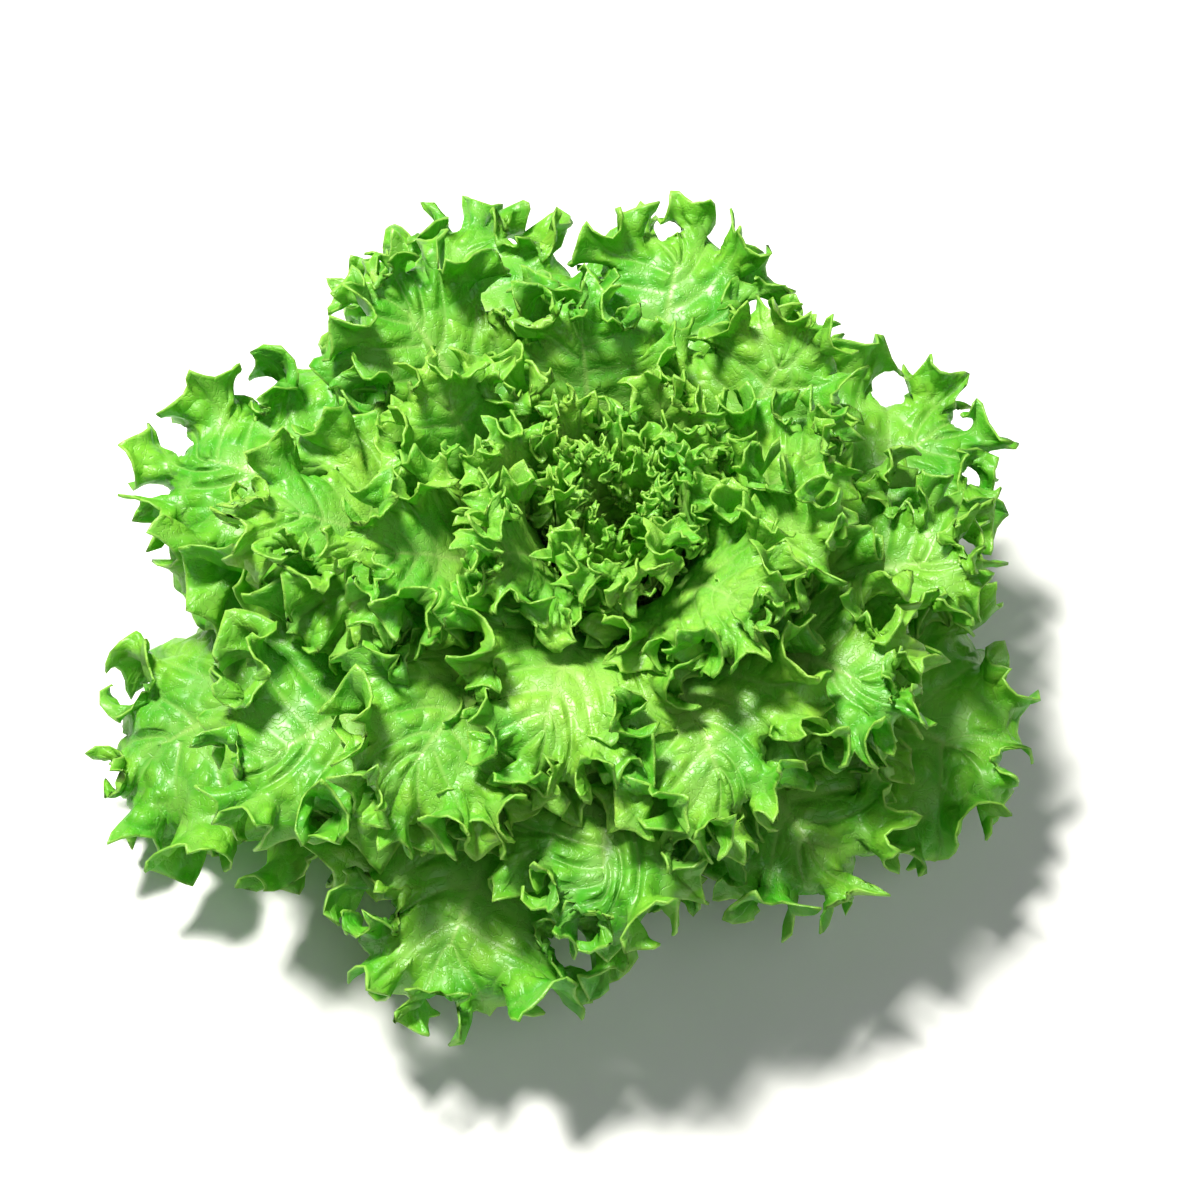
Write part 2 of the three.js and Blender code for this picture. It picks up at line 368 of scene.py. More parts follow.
def near_pairs(points, target, chosen, reach):
    """Pairs of chosen points that are near each other, though not near within one sheet."""
    leaf = chosen // (points.shape[2] * points.shape[3])
    place = points.transpose(1, 0, 2, 3).reshape(3, -1)[:, chosen]
    home = target.transpose(1, 0, 2, 3).reshape(3, -1)[:, chosen]
    size = reach.max() * SEARCH_MARGIN
    cell = ((place - place.min(1, keepdims=True) + size) / size).astype(np.int64)
    span = cell.max(1) + 2
    key = (cell[0] * span[1] + cell[1]) * span[2] + cell[2]
    order = np.argsort(key, kind="stable")
    key = key[order]
    rank = np.arange(len(order))
    firsts, seconds = [], []
    for x, y, z in NEIGHBOUR_CELLS:
        wanted = key + (x * span[1] + y) * span[2] + z
        low = np.searchsorted(key, wanted, "left")
        high = np.searchsorted(key, wanted, "right")
        if (x, y, z) == (0, 0, 0):
            low = rank + 1
        count = np.maximum(high - low, 0)
        first = np.repeat(rank, count)
        second = np.arange(count.sum()) - np.repeat(np.cumsum(count) - count - low, count)
        first, second = order[first], order[second]
        limit = SEARCH_MARGIN / 2 * (reach[leaf[first]] + reach[leaf[second]])
        near = ((place[:, first] - place[:, second]) ** 2).sum(0) < limit**2
        first, second = first[near], second[near]
        apart = ((home[:, first] - home[:, second]) ** 2).sum(0)
        apart = apart > (SAME_SHEET_REACH * reach[leaf[first]]) ** 2
        apart |= leaf[first] != leaf[second]
        firsts.append(first[apart])
        seconds.append(second[apart])
    first, second = np.concatenate(firsts), np.concatenate(seconds)
    limit = 0.5 * (reach[leaf[first]] + reach[leaf[second]])
    return first, second, limit.astype(np.float32)


def pushes(points, chosen, pairs):
    """The force that keeps near points apart, as a block like the points."""
    first, second, limit = pairs
    leaves, _, around, outward = points.shape
    place = points.transpose(1, 0, 2, 3).reshape(3, -1)[:, chosen]
    gap = place[:, first] - place[:, second]
    length = length_of(gap)
    gap *= PUSH * np.maximum(limit - length, 0) / length
    force = np.zeros((3, leaves * around * outward), np.float32)
    for axis in range(3):
        push = np.bincount(first, gap[axis], len(chosen))
        force[axis, chosen] = push - np.bincount(second, gap[axis], len(chosen))
    return force.reshape(3, leaves, around, outward).transpose(1, 0, 2, 3).copy()


def hold_shares(grid):
    """How firmly each point stays where the smooth leaf has it: firm at the foot and the midrib."""
    share = outward_shares(grid[1])[None, :]
    hold = HOLD_BLADE * (1 - share) ** 3 + HOLD_LOOSE + np.zeros((grid[0], 1))
    foot = max(4, grid[0] // 32)
    hold[:foot] = hold[-foot:] = HOLD_FOOT
    hold[:, 0] = HOLD_MIDRIB
    return hold.astype(np.float32)


def relax(points, target, sheets, steps, reach):
    """Moves the points towards rest while the extra growth sets in."""
    grid = points.shape[2:]
    chosen = contact_candidates(grid)
    hold = hold_shares(grid)
    speed = np.zeros_like(points)
    pairs = None

    def settle(leaf):
        here, pull = points[leaf], force[leaf]
        pull += hold * (target[leaf] - here)
        sheets[leaf].pull(here, pull)
        speed[leaf] = speed[leaf] * MOMENTUM + pull
        here += np.clip(speed[leaf], -MOST_MOVE, MOST_MOVE)
        here[..., 0] = 0.5 * (here[..., 0] + here[:, ::-1, 0])
        np.maximum(here[2], FLOOR_CLEARANCE, out=here[2])

    with ThreadPoolExecutor(4) as workers:
        for step in range(steps):
            if step % GROW_EVERY == 0:
                for sheet in sheets:
                    sheet.grow(min(1, (step + 1) / (GROWING_SHARE * steps)))
            if step >= CONTACT_FROM * steps:
                if pairs is None or step % PAIR_EVERY == 0:
                    pairs = near_pairs(points, target, chosen, reach)
                force = pushes(points, chosen, pairs)
            else:
                force = np.zeros_like(points)
            list(workers.map(settle, range(LEAF_COUNT)))
    return points


def cubic_weights(share):
    """Catmull-Rom weights of the four points around a place."""
    s2, s3 = share * share, share**3
    return (
        0.5 * (-s3 + 2 * s2 - share),
        0.5 * (3 * s3 - 5 * s2 + 2),
        0.5 * (-3 * s3 + 4 * s2 + share),
        0.5 * (s3 - s2),
    )


def sampled(block, around, outward):
    """The block's values at fractional places of its last two axes."""
    count_a, count_o = block.shape[-2:]
    low_a = np.clip(np.floor(around).astype(int), 0, count_a - 2)
    low_o = np.clip(np.floor(outward).astype(int), 0, count_o - 2)
    weights_a = cubic_weights(around - low_a)
    weights_o = cubic_weights(outward - low_o)
    total = 0
    for i, weight_a in enumerate(weights_a):
        at_a = np.clip(low_a + i - 1, 0, count_a - 1)
        for j, weight_o in enumerate(weights_o):
            at_o = np.clip(low_o + j - 1, 0, count_o - 1)
            total = total + block[..., at_a, at_o] * (weight_a * weight_o).astype(np.float32)
    return total


def refined(block, grid):
    """The block on a finer grid."""
    around = np.linspace(0, block.shape[-2] - 1, grid[0])[:, None] + np.zeros((1, grid[1]))
    outward = np.linspace(0, block.shape[-1] - 1, grid[1])[None, :] + np.zeros((grid[0], 1))
    return sampled(block, around, outward)


def evened(points):
    """Smooths the blade near the midrib, which hardly frills."""
    weight = EVENING * (1 - smooth(*EVENED_SHARES, outward_shares(points.shape[3])))
    for _ in range(EVENING_ROUNDS):
        change = np.zeros_like(points)
        change[..., 1:-1] += 0.5 * (points[..., 2:] + points[..., :-2]) - points[..., 1:-1]
        change[..., 0] += 0.5 * (points[..., 1] + points[:, :, ::-1, 1]) - points[..., 0]
        change[:, :, 1:-1] += 0.5 * (points[:, :, 2:] + points[:, :, :-2]) - points[:, :, 1:-1]
        points = points + change * weight
    return points.astype(np.float32)


def grown_leaves():
    """All leaves with their frills, on the grid of the last stage."""
    rng = np.random.default_rng(SEED)
    reach = aged(CONTACT_REACH, AGES)
    depth = aged(STIFF_DEPTH, AGES)
    points, grown, moved = None, None, None
    stages = STAGES
    for grid, steps, amount, power, softness, crumple, patch in stages:
        start, normals = smooth_leaves(grid)
        share = outward_shares(grid[1])[None, None, :]
        if points is None:
            grown = np.zeros((LEAF_COUNT, *grid))
            moved = swung(start)
            points = start + normals * moved[:, None].astype(np.float32)
        else:
            points, moved, grown = refined(points, grid), refined(moved, grid), refined(grown, grid)
        target = (start + normals * moved[:, None]).astype(np.float32)
        extra = growth_field(rng, grid, amount, power, crumple, patch)
        rough = ROUGHNESS * share**ROUGHNESS_EASE * rng.normal(size=points.shape)
        points = (points + rough).astype(np.float32)
        sheets = [
            Sheet(start[i], grown[i], extra[i], depth[i] * softness) for i in range(LEAF_COUNT)
        ]
        points = relax(points, target, sheets, steps, reach)
        grown = grown + extra
    return evened(points)


# ---------------------------------------------------------------- teeth, ribs and the sheet's mesh

TOOTH_PITCH = (0.0270, 0.0122)
TOOTH_DEPTH = 0.28  # of the tooth's own width
FEWEST_TEETH = 8
TOOTH_WIDTHS = (0.5, 1.5)  # from the narrowest to the widest, as a share of the pitch
BITE_DEPTHS = (0.5, 1.4)  # from the shallowest to the deepest, as a share of the depth
MOST_BITE = 0.3  # of the leaf's breadth there
TOOTHED = (0.02, 0.12)  # shares of the margin from the foot: no teeth before, full ones beyond
BITE_PLACES = np.array([0, 0.10, 0.26, 0.50, 0.74, 0.90])  # columns from one tip to the next
COLUMN_STEPS = (6, 3, 1)  # near the midrib, midway and near the margin: one column in so many
DENSER_FROM = (0.3, 0.6)  # shares of the rows where the columns get denser
COLUMNS_BENT = 0.7  # columns reach their teeth by this share of the rows
TEETH_PER_VEIN = 4
ROWS = 17  # rows of faces from the midrib to the margin
ROW_EASE = 0.8
BLADE_THICKNESS = (0.00075, 0.00055)
RIB_DEPTH = (0.0042, 0.0012)
RIB_HALF_WIDTH = (0.0080, 0.0028)
VEIN_DEPTH = (0.00070, 0.00025)
VEIN_HALF_WIDTH = (0.0013, 0.0007)
VEIN_TAPER = (1.3, 0.8)  # a vein's width at the midrib, and what it loses on its way to the margin
VEIN_FLANK = 0.2  # share of its half width where the flank of a vein begins
RIB_TAPER = 1.25  # the midrib's width at the foot; it loses 1 on its way to the tip
RIB_FLANK = 0.1
RIB_FADE = 0.75
SIDE_VEINS = (0.4, 0.65)  # shares out from the midrib over which the veins to the other teeth begin
VEIN_FOOT = 0.06  # share of the margin from the foot over which the veins begin
# Values that each point carries: how far out it is as a share, how much of a vein and of the midrib
# it is, and its distances from the margin, from the nearest main vein and from the midrib.
CARRIED = ("outward", "vein", "rib", "rim", "lateral", "midrib")


def margin_columns(rng, margin_length, age):
    """Teeth round the margin: each column's place, bite, distance to a tip and its number, and
    distance to a main vein."""
    count = max(FEWEST_TEETH, round(margin_length / aged(TOOTH_PITCH, age)))
    count += count % 2
    widths = rng.uniform(*TOOTH_WIDTHS, count)
    widths *= margin_length / widths.sum()
    depths = widths * TOOTH_DEPTH * rng.uniform(*BITE_DEPTHS, count)
    tips = np.concatenate([[0], np.cumsum(widths)])
    place = (tips[:-1, None] + widths[:, None] * BITE_PLACES).ravel()
    bite = (depths[:, None] * 4 * BITE_PLACES * (1 - BITE_PLACES)).ravel()
    nearest = (np.minimum(BITE_PLACES, 1 - BITE_PLACES) * widths[:, None]).ravel()
    tip_number = (np.arange(count)[:, None] + np.round(BITE_PLACES)).ravel()
    place = np.append(place, margin_length)
    from_vein = np.abs(place[:, None] - tips[::TEETH_PER_VEIN]).min(1)
    return place, np.append(bite, 0), np.append(nearest, 0), np.append(tip_number, count), from_vein


def leaf_sheet(index, leaf, rng):
    """One leaf's upper face: its points, the values they carry, and the points of each row."""
    age = AGES[index]
    around_count, outward_count = leaf.shape[1:]
    round_steps = link_lengths(leaf, ROUND)
    out_steps = link_lengths(leaf, OUT)
    walked = np.concatenate([[0], np.cumsum(round_steps[:, -1])])
    row_length = round_steps.sum(0)
    place, bite, nearest, tip_number, from_vein = margin_columns(rng, walked[-1], age)
    at_margin = np.interp(place, walked, np.arange(around_count))
    at_midrib = np.linspace(0, around_count - 1, len(place))
    breadth = np.interp(at_margin, np.arange(around_count), out_steps.sum(1))
    from_foot = np.minimum(place, walked[-1] - place) / walked[-1]
    bite = np.minimum(bite * smooth(*TOOTHED, from_foot), MOST_BITE * breadth)
    reach = 1 - bite / breadth

    places, values, rows = [], [], []
    row_shares = np.linspace(0, 1, ROWS + 1) ** ROW_EASE
    for r, row_share in enumerate(row_shares):
        step = COLUMN_STEPS[sum(r >= start * ROWS for start in DENSER_FROM)]
        chosen = np.arange(0, len(place), step)
        share = row_share * (1 - (1 - reach[chosen]) * row_share**3)
        at_out = share ** (1 / OUTWARD_EASE) * (outward_count - 1)
        first = sum(len(row) for row in rows)
        row = first + np.arange(len(chosen))
        if r == 0:
            middle = len(chosen) // 2
            row[middle:] = row[len(chosen) - 1 - np.arange(middle, len(chosen))]
        rows.append(row)
        bend = smooth(0, COLUMNS_BENT, row_share)
        bent = at_midrib[chosen] + (at_margin - at_midrib)[chosen] * bend
        places.append(sampled(leaf, bent, at_out))
        from_midrib = share * breadth[chosen]
        crowding = np.interp(at_out, np.arange(outward_count), row_length) / row_length[-1]
        main = tip_number[chosen] % TEETH_PER_VEIN == 0
        vein_width = aged(VEIN_HALF_WIDTH, age) * (VEIN_TAPER[0] - VEIN_TAPER[1] * share)
        vein = 1 - smooth(VEIN_FLANK, 1, nearest[chosen] * crowding / vein_width)
        vein *= np.where(main, 1, smooth(*SIDE_VEINS, share))
        vein *= smooth(0, VEIN_FOOT, from_foot[chosen])
        to_tip = 1 - np.abs(2 * bent / (around_count - 1) - 1)
        rib_width = aged(RIB_HALF_WIDTH, age) * (RIB_TAPER - to_tip)
        rib = (1 - smooth(RIB_FLANK, 1, from_midrib / rib_width)) * (1 - RIB_FADE * to_tip)
        rim = (reach[chosen] - share) * breadth[chosen]
        lateral = from_vein[chosen] * crowding
        values.append(np.stack([share, vein, rib, np.maximum(rim, 0), lateral, from_midrib]))
    return np.concatenate(places, 1), np.concatenate(values, 1), rows


def row_faces(inner, outer):
    """Faces between two rows; the outer row may have several columns for each inner one."""
    if len(inner) == len(outer):
        return list(zip(inner[:-1], outer[:-1], outer[1:], inner[1:]))
    times = (len(outer) - 1) // (len(inner) - 1)
    turn = (times + 1) // 2
    faces = []
    for i in range(len(inner) - 1):
        first, last = inner[i], inner[i + 1]
        across = outer[times * i : times * (i + 1) + 1]
        faces += [(first, across[k], across[k + 1]) for k in range(turn)]
        faces.append((first, across[turn], last))
        faces += [(last, across[k], across[k + 1]) for k in range(turn, times)]
    return faces


def leaf_mesh(name, index, leaf, rng):
    """The leaf's upper face as a mesh that carries its values."""
    places, values, rows = leaf_sheet(index, leaf, rng)
    faces = []
    for inner, outer in zip(rows[:-1], rows[1:]):
        faces += [f for f in row_faces(inner, outer) if len(set(f)) == len(f)]
    used = np.unique(np.concatenate([np.array(f) for f in faces]))
    number = np.full(places.shape[1], -1)
    number[used] = np.arange(len(used))
    mesh = bpy.data.meshes.new(name)
    mesh.from_pydata(places[:, used].T.tolist(), [], [[int(number[v]) for v in f] for f in faces])
    for label, value in zip(CARRIED, values[:, used]):
        attribute = mesh.attributes.new(label, "FLOAT", "POINT")
        attribute.data.foreach_set("value", value.astype(np.float32))
    leaf_object = bpy.data.objects.new(name, mesh)
    bpy.context.collection.objects.link(leaf_object)
    return leaf_object


# ---------------------------------------------------------------- node helpers


def add_node(tree, kind, inputs=None, **settings):
    """A new node with its settings, and with its inputs set or linked."""
    node = tree.nodes.new(kind)
    for name, value in settings.items():
        setattr(node, name, value)
    for key, value in (inputs or {}).items():
        if isinstance(value, bpy.types.NodeSocket):
            tree.links.new(value, node.inputs[key])
        else:
            node.inputs[key].default_value = value
    return node


def calculate(tree, operation, first, second=0.0, third=0.0, clamp=False):
    inputs = {0: first, 1: second, 2: third}
    return add_node(tree, "ShaderNodeMath", inputs, operation=operation, use_clamp=clamp).outputs[0]


def ramp_between(tree, value, low, high):
    """0 below low and 1 above high, with a smooth rise."""
    inputs = {"Value": value, "From Min": low, "From Max": high}
    node = add_node(tree, "ShaderNodeMapRange", inputs, interpolation_type="SMOOTHSTEP")
    return node.outputs["Result"]


def fall_between(tree, value, low, high):
    """1 below low and 0 above high, with a smooth fall."""
    return calculate(tree, "SUBTRACT", 1.0, ramp_between(tree, value, low, high))


def noise(tree, place, scale, detail, roughness=0.5):
    """Soft random patches; larger scales make smaller patches."""
    inputs = {"Vector": place, "Scale": scale, "Detail": detail, "Roughness": roughness}
    return add_node(tree, "ShaderNodeTexNoise", inputs)


def cell_distance(tree, place, size, feature="F1"):
    """0 in the middle of each cell of about that size, more towards its edges."""
    inputs = {"Vector": place, "Scale": calculate(tree, "DIVIDE", 1.0, size)}
    return add_node(tree, "ShaderNodeTexVoronoi", inputs, feature=feature).outputs["Distance"]


def shifted(tree, operation, inputs):
    """A vector that is scaled or added to another."""
    return add_node(tree, "ShaderNodeVectorMath", inputs, operation=operation).outputs[0]


def mixed_colour(tree, share, first, second):
    node = add_node(tree, "ShaderNodeMix", data_type="RGBA")
    for key, value in ((0, share), (6, first), (7, second)):
        if isinstance(value, bpy.types.NodeSocket):
            tree.links.new(value, node.inputs[key])
        else:
            node.inputs[key].default_value = value
    return node.outputs[2]


def new_tree(name, kind, inputs, outputs):
    """A node group with named sockets; each input is (name, socket type, default)."""
    tree = bpy.data.node_groups.new(name, kind)
    for label, socket, default in inputs:
        made = tree.interface.new_socket(label, in_out="INPUT", socket_type=socket)
        if default is not None:
            made.default_value = default
    for label, socket in outputs:
        tree.interface.new_socket(label, in_out="OUTPUT", socket_type=socket)
    return tree, tree.nodes.new("NodeGroupInput"), tree.nodes.new("NodeGroupOutput")


def give_out(tree, geometry, material, out):
    """Ends a geometry tree: real, smoothly shaded and coated."""
    real = add_node(tree, "GeometryNodeRealizeInstances", {"Geometry": geometry})
    shaded = add_node(tree, "GeometryNodeSetShadeSmooth", {"Geometry": real.outputs[0]})
    inputs = {"Geometry": shaded.outputs[0], "Material": material}
    coated = add_node(tree, "GeometryNodeSetMaterial", inputs)
    tree.links.new(coated.outputs[0], out.inputs["Geometry"])


def set_modifier_input(modifier, label, value):
    for item in modifier.node_group.interface.items_tree:
        if item.item_type == "SOCKET" and item.in_out == "INPUT" and item.name == label:
            modifier[item.identifier] = value


def made_solid(piece):
    """Replaces the object's mesh by what its modifiers make of it, and removes them."""
    depsgraph = bpy.context.evaluated_depsgraph_get()
    mesh = bpy.data.meshes.new_from_object(piece.evaluated_get(depsgraph), depsgraph=depsgraph)
    piece.modifiers.clear()
    piece.data = mesh
    mesh.name = piece.name
    return piece


# ---------------------------------------------------------------- finishes

# Each finish: the deep and the bright green of the blade and the light that comes through it, then
# the sizes of its cells and blisters, the height of the blisters and the width of its veins.
OUTER_GREENS = ((0.050, 0.400, 0.014, 1), (0.290, 0.630, 0.052, 1), (0.220, 0.700, 0.035, 1))
MIDDLE_GREENS = ((0.075, 0.455, 0.018, 1), (0.370, 0.690, 0.070, 1), (0.260, 0.740, 0.042, 1))
HEART_GREENS = ((0.100, 0.490, 0.024, 1), (0.430, 0.740, 0.090, 1), (0.290, 0.770, 0.050, 1))
LEAF_FINISHES = {
    "outer_leaf": (OUTER_GREENS, (0.0026, 0.0085, 0.0015, 0.0013)),
    "middle_leaf": (MIDDLE_GREENS, (0.0020, 0.0065, 0.0010, 0.0010)),
    "heart_leaf": (HEART_GREENS, (0.0015, 0.0040, 0.0005, 0.0007)),
}
RIB_COLOUR = (0.500, 0.720, 0.200, 1)
# painted highlight: the pale rim along the margin stands in for edges that catch the light
RIM_HIGHLIGHT_COLOUR = (0.500, 0.780, 0.140, 1)
BLOTCH_SCALE = 38.0
BLOTCH_RANGE = (0.30, 0.72)
DRIFT_SCALE = 110.0
DRIFT_REACH = 0.005  # how far the blisters are pulled out of shape
PILLOW_RANGE = (0.1, 0.75)  # of a blister, from its middle out
NET_RANGE = (0.5, 0.75)  # the pale net between the blisters
FINE_VEIN_WIDTH = 0.05
VEIN_NARROWING = (-0.7, 1.15)  # a vein's width goes by the share out: first times share plus second
MIDRIB_NEARNESS = 0.6  # its distance counts for less than a vein's, so its line is wider
LINE_RANGE = (0.1, 1.1)  # of a vein's width: its line, and its banks, where no blister rises
BANK_RANGE = (0.0, 3.2)
# painted highlight: how much lighter the tops of the blisters are painted
PILLOW_HIGHLIGHT = 0.45
BRIGHT_SHARE = 0.68
FINE_VEIN_SHARE = 0.10  # how much of the rib's colour the fine veins, the net and the veins take
NET_SHARE = 0.22
LINE_SHARE = (-0.2, 0.36)  # first times the share out plus second
PALE_RANGE = (0.0, 0.55)  # blades are paler towards the midrib
PALE_SHARE = 0.16
# the painted highlight along the margin: how far in from the margin it fades, and its share
RIM_RANGE = (0.0002, 0.0011)
RIM_HIGHLIGHT_SHARE = 0.45
TISSUE_ROUGHNESS = (0.30, 0.46)
FINE_VEIN_HEIGHT = -0.00010
GRAIN_HEIGHT = 0.00008
LINE_HEIGHT = -0.00009
THROUGH_SHARE = 0.37  # of the light on a leaf that passes through it


def leaf_tissue_group():
    """Colour, roughness and height of living leaf, from the values each leaf carries."""
    colour, number = "NodeSocketColor", "NodeSocketFloat"
    tree, given, out = new_tree(
        "leaf_tissue",
        "ShaderNodeTree",
        [("Deep", colour, (0, 0.2, 0, 1)), ("Bright", colour, (0.1, 0.5, 0, 1)),
         ("Rib", colour, RIB_COLOUR), ("Rim", colour, RIM_HIGHLIGHT_COLOUR), ("Cell Size", number, 0.0022),
         ("Blister Size", number, 0.008), ("Blister Height", number, 0.0008),
         ("Vein Width", number, 0.0012)],
        [("Colour", colour), ("Roughness", number), ("Height", number)],
    )
    carried = {}
    for label in CARRIED:
        node = add_node(tree, "ShaderNodeAttribute", attribute_name=label)
        carried[label] = node.outputs["Fac"]
    place = add_node(tree, "ShaderNodeTexCoord").outputs["Object"]
    blotches = noise(tree, place, BLOTCH_SCALE, 2.0, 0.6).outputs["Fac"]
    fineness = calculate(tree, "DIVIDE", 1.0, given.outputs["Cell Size"])
    speckle = noise(tree, place, fineness, 1.5).outputs["Fac"]
    ridge = calculate(tree, "ABSOLUTE", calculate(tree, "SUBTRACT", speckle, 0.5))
    fine_vein = fall_between(tree, ridge, 0.0, FINE_VEIN_WIDTH)
    drift = noise(tree, place, DRIFT_SCALE, 0.0).outputs["Color"]
    drift = shifted(tree, "SCALE", {0: drift, "Scale": DRIFT_REACH})
    wandered = shifted(tree, "ADD", {0: place, 1: drift})
    blister = cell_distance(tree, wandered, given.outputs["Blister Size"])
    pillow = fall_between(tree, blister, *PILLOW_RANGE)
    net = ramp_between(tree, blister, *NET_RANGE)
    taper = calculate(tree, "MULTIPLY_ADD", carried["outward"], *VEIN_NARROWING)
    width = calculate(tree, "MULTIPLY", given.outputs["Vein Width"], taper)
    near = calculate(tree, "MULTIPLY", carried["midrib"], MIDRIB_NEARNESS)
    near = calculate(tree, "MINIMUM", carried["lateral"], near)
    near = calculate(tree, "DIVIDE", near, width)
    line = fall_between(tree, near, *LINE_RANGE)
    banked = fall_between(tree, near, *BANK_RANGE)
    quiet = calculate(tree, "MAXIMUM", banked, carried["rib"], clamp=True)
    pillow = calculate(tree, "MULTIPLY", pillow, calculate(tree, "SUBTRACT", 1.0, quiet))

    # painted highlight: the blister tops are painted lighter, and random blotches vary the green
    light = calculate(tree, "MULTIPLY", pillow, PILLOW_HIGHLIGHT)
    light = calculate(tree, "ADD", light, ramp_between(tree, blotches, *BLOTCH_RANGE))
    light = calculate(tree, "MULTIPLY", light, BRIGHT_SHARE)
    green = mixed_colour(tree, light, given.outputs["Deep"], given.outputs["Bright"])
    speckled = calculate(tree, "MULTIPLY", fine_vein, FINE_VEIN_SHARE)
    green = mixed_colour(tree, speckled, green, given.outputs["Rib"])
    line_share = calculate(tree, "MULTIPLY_ADD", carried["outward"], *LINE_SHARE)
    veined = calculate(tree, "MULTIPLY", line, line_share)
    veined = calculate(tree, "MAXIMUM", veined, calculate(tree, "MULTIPLY", net, NET_SHARE))
    green = mixed_colour(tree, veined, green, given.outputs["Rib"])
    paleness = fall_between(tree, carried["outward"], *PALE_RANGE)
    paleness = calculate(tree, "MULTIPLY", paleness, PALE_SHARE)
    ribbed = calculate(tree, "MAXIMUM", paleness, carried["rib"], clamp=True)
    green = mixed_colour(tree, ribbed, green, given.outputs["Rib"])
    # painted highlight: a pale strip along the margin, where the edges catch the light
    rim_highlight = calculate(tree, "MULTIPLY", fall_between(tree, carried["rim"], *RIM_RANGE), RIM_HIGHLIGHT_SHARE)
    green = mixed_colour(tree, rim_highlight, green, given.outputs["Rim"])
    tree.links.new(green, out.inputs["Colour"])

    low, high = TISSUE_ROUGHNESS
    rough = add_node(tree, "ShaderNodeMapRange", {"Value": speckle, "To Min": low, "To Max": high})
    tree.links.new(rough.outputs["Result"], out.inputs["Roughness"])
    height = calculate(tree, "MULTIPLY", fine_vein, FINE_VEIN_HEIGHT)
    height = calculate(tree, "ADD", height, calculate(tree, "MULTIPLY", speckle, GRAIN_HEIGHT))
    raised = calculate(tree, "MULTIPLY", pillow, given.outputs["Blister Height"])
    height = calculate(tree, "ADD", height, raised)
    height = calculate(tree, "ADD", height, calculate(tree, "MULTIPLY", line, LINE_HEIGHT))
    tree.links.new(height, out.inputs["Height"])
    return tree


def new_material(name):
    """A material with its node tree, Principled shader and output."""
    material = bpy.data.materials.new(name)
    material.use_nodes = True
    nodes = material.node_tree.nodes
    return material, material.node_tree, nodes["Principled BSDF"], nodes["Material Output"]


def leaf_material(name, tissue, greens, sizes):
    """Living leaf: a satin face, and a share of the light that comes through from behind."""
    material, tree, surface, output = new_material(name)
    deep, bright, glow = greens
    given = {"Deep": deep, "Bright": bright, **sizes}
    group = add_node(tree, "ShaderNodeGroup", node_tree=tissue)
    for label, value in given.items():
        group.inputs[label].default_value = value
    inputs = {"Height": group.outputs["Height"], "Strength": 1.0, "Distance": 1.0}
    normal = add_node(tree, "ShaderNodeBump", inputs).outputs["Normal"]
    tree.links.new(group.outputs["Colour"], surface.inputs["Base Color"])
    tree.links.new(group.outputs["Roughness"], surface.inputs["Roughness"])
    tree.links.new(normal, surface.inputs["Normal"])
    through = add_node(tree, "ShaderNodeBsdfTranslucent", {"Color": glow, "Normal": normal})
    inputs = {0: THROUGH_SHARE, 1: surface.outputs["BSDF"], 2: through.outputs["BSDF"]}
    blend = add_node(tree, "ShaderNodeMixShader", inputs)
    tree.links.new(blend.outputs["Shader"], output.inputs["Surface"])
    return material


# ---------------------------------------------------------------- the leaves

SWELL_SIZE = (0.0125, 0.0068)
SWELL_HEIGHT = (0.0022, 0.0009)
SWELL_REACH = 0.8  # of a swelling's own size
VEIN_SINK = 0.4  # how far a vein sinks on the upper face, as a share of its depth
MARGIN_THINNING = 0.25
RIB_EASE = 1.5
VEIN_THINNING = 0.7


def leaf_surface_tree():
    """Swells the blade between the veins of a leaf and sinks the veins a little."""
    number = "NodeSocketFloat"
    tree, given, out = new_tree(
        "leaf_surface",
        "GeometryNodeTree",
        [("Geometry", "NodeSocketGeometry", None), ("Swell Size", number, 0.015),
         ("Swell Height", number, 0.002), ("Vein Depth", number, 0.0003),
         ("Leaf", "NodeSocketMaterial", None)],
        [("Geometry", "NodeSocketGeometry")],
    )

    def carried(label):
        node = add_node(tree, "GeometryNodeInputNamedAttribute", {"Name": label}, data_type="FLOAT")
        return node.outputs["Attribute"]

    place = add_node(tree, "GeometryNodeInputPosition").outputs["Position"]
    cells = cell_distance(tree, place, given.outputs["Swell Size"], "SMOOTH_F1")
    swell = fall_between(tree, cells, 0.0, SWELL_REACH)
    quiet = calculate(tree, "MAXIMUM", carried("vein"), carried("rib"), clamp=True)
    swell = calculate(tree, "MULTIPLY", swell, calculate(tree, "SUBTRACT", 1.0, quiet))
    rise = calculate(tree, "MULTIPLY", swell, given.outputs["Swell Height"])
    sink = calculate(tree, "MULTIPLY", carried("vein"), given.outputs["Vein Depth"])
    rise = calculate(tree, "SUBTRACT", rise, sink)
    normal = add_node(tree, "GeometryNodeInputNormal").outputs["Normal"]
    offset = shifted(tree, "SCALE", {0: normal, "Scale": rise})
    inputs = {"Geometry": given.outputs["Geometry"], "Offset": offset}
    moved = add_node(tree, "GeometryNodeSetPosition", inputs)
    give_out(tree, moved.outputs[0], given.outputs["Leaf"], out)
    return tree


def leaf_depths(mesh, age):
    """Thickness at each point: blade, midrib and veins."""
    values = {}
    for label in ("vein", "rib", "outward"):
        values[label] = np.zeros(len(mesh.vertices), np.float32)
        mesh.attributes[label].data.foreach_get("value", values[label])
    depth = aged(BLADE_THICKNESS, age) * (1 - MARGIN_THINNING * values["outward"])
    depth += aged(RIB_DEPTH, age) * values["rib"] ** RIB_EASE
    veins = values["vein"] * (1 - VEIN_THINNING * values["outward"])
    return np.maximum(depth, aged(BLADE_THICKNESS, age) + aged(VEIN_DEPTH, age) * veins)


